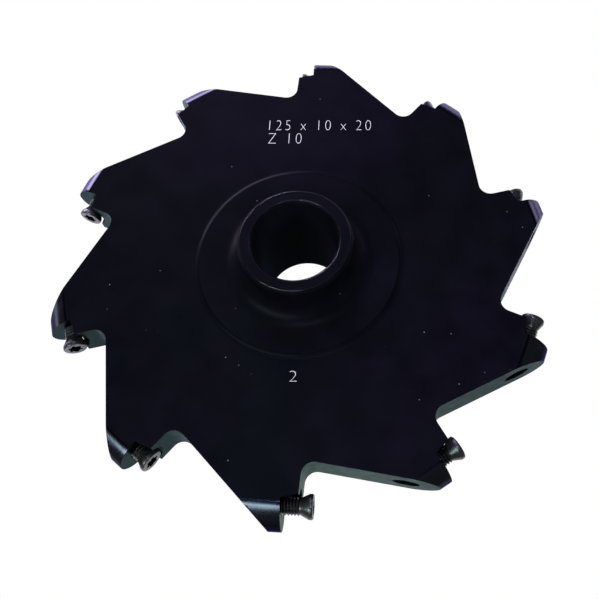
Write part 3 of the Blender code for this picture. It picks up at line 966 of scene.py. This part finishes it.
def blued_bevel_material(colours):
    """Ground tooth tip: glossy blued finish, with painted sheen in a band that fades out both ways into
    painted shade, with lines along the cut.
    """
    material, tree, shader, place = new_material("blued_bevel", colours.blued_bevel, 1.0, 0.24,
                                                 (0.45, 0.43, 0.55))
    split = place_node(tree, "ShaderNodeSeparateXYZ", -6, 1, [(0, place)]).outputs
    lines = place_node(tree, "ShaderNodeTexNoise", -5, 1,
                       [("W", split["Z"]), ("Scale", 5000.0), ("Detail", 1.0)],
                       noise_dimensions="1D")
    (in_top, in_end), (out_top, out_end) = BAND_FADE_IN, BAND_FADE_OUT
    fade_out = spread(tree, split["Z"], FRONT_FACE - out_end, FRONT_FACE - out_top, 0.0, 1.0, row=2)
    fade_in = spread(tree, split["Z"], FRONT_FACE - in_end, FRONT_FACE - in_top, 1.0, 0.0, row=3)
    band = compute(tree, "MULTIPLY", fade_out, fade_in, row=2)
    lined = spread(tree, lines.outputs["Fac"], 0.3, 0.7, 0.75, 1.0, row=4)
    faded = compute(tree, "MULTIPLY", band, lined, row=3)
    colour = blend(tree, faded, colours.painted_bevel_shade, colours.blued_bevel, row=1)
    tree.links.new(colour, shader.inputs["Base Color"])
    vary_roughness(tree, shader, place, 300.0, 0.20, 0.28, 4)
    return material


def gunmetal_material(colours):
    """Screw steel with painted shade in the roots of the thread and in the socket, random stains and fine
    scratches.
    """
    material, tree, shader, place = new_material("gunmetal", colours.gunmetal, 0.93, 0.30)
    stains = spread(tree, noise(tree, place, 900.0, 4.0, row=1), 0.38, 0.72, 0.0, 0.55, row=1)
    # The darkening mixes random stains with painted shade in the socket and the thread roots.
    recess = place_node(tree, "ShaderNodeAttribute", -5, 0, attribute_name="recess")
    dark = compute(tree, "MAXIMUM", stains, recess.outputs["Fac"], row=1)
    colour = blend(tree, dark, colours.gunmetal, colours.painted_root_shade, row=1)
    tree.links.new(colour, shader.inputs["Base Color"])
    vary_roughness(tree, shader, place, 1500.0, 0.24, 0.38, 2)
    add_bump(tree, shader, noise(tree, place, 6000.0, 2.0, row=3), 0.2, 3)
    return material


def etching_material(colours):
    """Etched figures: matt light grey, a little uneven."""
    material, tree, shader, place = new_material("etching", colours.etching, 0.2, 0.6)
    uneven = spread(tree, noise(tree, place, 1400.0, row=1), 0.35, 0.7, 0.0, 0.7, row=1)
    colour = blend(tree, uneven, colours.etching, tuple(0.5 * c for c in colours.etching), row=1)
    tree.links.new(colour, shader.inputs["Base Color"])
    return material


# Studio


def white_to_camera(tree, kind, shader, output):
    """Let the camera see plain white, and all else the given shader."""
    rays = place_node(tree, "ShaderNodeLightPath", 0, 2)
    white = place_node(tree, kind, 0, 3, [("Color", (1.0, 1.0, 1.0, 1.0)), ("Strength", 1.0)])
    mixed = place_node(tree, "ShaderNodeMixShader", 2, 0,
                       [(0, rays.outputs["Is Camera Ray"]), (1, shader), (2, white.outputs[0])])
    tree.links.new(mixed.outputs[0], tree.nodes[output].inputs["Surface"])


def floor_material(colours):
    """Pale paper that the camera sees as plain white, while the cutter mirrors its light and shade.

    In front, away from the cutter, painted shade makes it dim for reflections, so that the tips there stay
    dark.
    """
    material, tree, shader, place = new_material("pale_floor", colours.floor, 0.0, 0.9)
    split = place_node(tree, "ShaderNodeSeparateXYZ", -6, 1, [(0, place)]).outputs
    reach = place_node(tree, "ShaderNodeVectorMath", -5, 0, [(0, place)], operation="LENGTH")
    # Painted shade on the floor in front, away from the cutter.
    away = spread(tree, reach.outputs["Value"], 0.07, 0.10, 0.0, 1.0)
    in_front = spread(tree, split["Y"], 0.0, 0.05, 1.0, 0.0, row=1)
    floor_with_painted_shade = blend(tree, compute(tree, "MULTIPLY", away, in_front), colours.floor, (0.02, 0.02, 0.02))
    tree.links.new(floor_with_painted_shade, shader.inputs["Base Color"])
    white_to_camera(tree, "ShaderNodeEmission", shader.outputs[0], "Material Output")
    return material


def studio_light(name, direction, distance, size, power, colour, along=(0.0, 0.0, 1.0), glossy=True):
    """Soft light, aimed at the cutter from a direction, its long side along another one.

    A light that isn't glossy washes over the cutter and leaves no highlight.
    """
    light = bpy.data.lights.new(name, "AREA")
    light.shape = "RECTANGLE"
    light.size, light.size_y = size
    light.energy = power
    light.color = colour
    lamp = add_object(name, light)
    lamp.visible_glossy = glossy
    aim = Vector((0.0, 0.0, FRONT_FACE))
    away = Vector(direction).normalized()
    lamp.location = aim + away * distance
    long_side = (Vector(along) - away * away.dot(along)).normalized()
    lamp.rotation_euler = Matrix((long_side, away.cross(long_side), away)).transposed().to_euler()


def dim_surround():
    """Dim studio all round, which the camera sees as a plain white backdrop."""
    world = bpy.data.worlds.new("studio")
    world.use_nodes = True
    tree = world.node_tree
    dim = tree.nodes["Background"]
    dim.inputs["Color"].default_value = (0.9, 0.92, 1.0, 1.0)
    dim.inputs["Strength"].default_value = 0.04
    white_to_camera(tree, "ShaderNodeBackground", dim.outputs[0], "World Output")
    return world


class CUTTER_OT_studio(bpy.types.Operator):
    """Set up the pale floor, the soft lights and the camera"""
    bl_idname = "cutter.studio"
    bl_label = "Studio"

    def execute(self, context):
        scene = context.scene
        reach = 12.0
        mesh = bpy.data.meshes.new("floor")
        mesh.from_pydata([(-reach, -reach, 0), (reach, -reach, 0), (reach, reach, 0), (-reach, reach, 0)],
                         [], [(0, 1, 2, 3)])
        floor = add_object("floor", mesh)
        mesh.materials.append(floor_material(scene.cutter.colours))

        for name, direction, power, colour in WASHES:
            studio_light(name, direction, distance=1.0, size=(0.3, 0.3), power=power, colour=colour,
                         glossy=False)
        for values in HIGHLIGHTS:
            studio_light(*values)

        scene.world = dim_surround()
        scene.view_settings.view_transform = "Standard"

        camera_data = bpy.data.cameras.new("photo_view")
        camera_data.sensor_width = 36.0
        camera_data.lens = CAMERA_LENS
        camera_data.shift_x, camera_data.shift_y = CAMERA_SHIFT
        camera_data.clip_start = 0.01
        camera_data.clip_end = 20.0
        camera = add_object("photo_view", camera_data)
        aim = Matrix.Rotation(pi / 2 - CAMERA_ELEVATION, 4, "X") @ Matrix.Rotation(CAMERA_ROLL, 4, "Z")
        camera.matrix_world = Matrix.Translation(CAMERA_PLACE) @ aim
        scene.camera = camera
        return {"FINISHED"}


class CUTTER_PT_sizes(bpy.types.Panel):
    """Lists the operators, the sizes and the colours of the cutter"""
    bl_label = "Side and Face Cutter"
    bl_space_type = "VIEW_3D"
    bl_region_type = "UI"
    bl_category = "Cutter"

    def draw(self, context):
        for operator in OPERATORS:
            self.layout.operator(operator.bl_idname)
        for group in (context.scene.cutter.body, context.scene.cutter.screw, context.scene.cutter.colours):
            box = self.layout.box()
            for name in group.bl_rna.properties.keys():
                if name not in {"rna_type", "name"}:
                    box.prop(group, name)


OPERATORS = (CUTTER_OT_body, CUTTER_OT_screws, CUTTER_OT_marks, CUTTER_OT_studio)
CLASSES = (CutterBodySizes, CutterScrewSizes, CutterColours, CutterScene) + OPERATORS + (CUTTER_PT_sizes,)


def register():
    for cls in CLASSES:
        bpy.utils.register_class(cls)
    bpy.types.Scene.cutter = PointerProperty(type=CutterScene)


def unregister():
    del bpy.types.Scene.cutter
    for cls in reversed(CLASSES):
        bpy.utils.unregister_class(cls)


def main():
    register()
    bpy.ops.cutter.body()
    bpy.ops.cutter.screws()
    bpy.ops.cutter.marks()
    bpy.ops.cutter.studio()


if __name__ == "__main__":
    main()
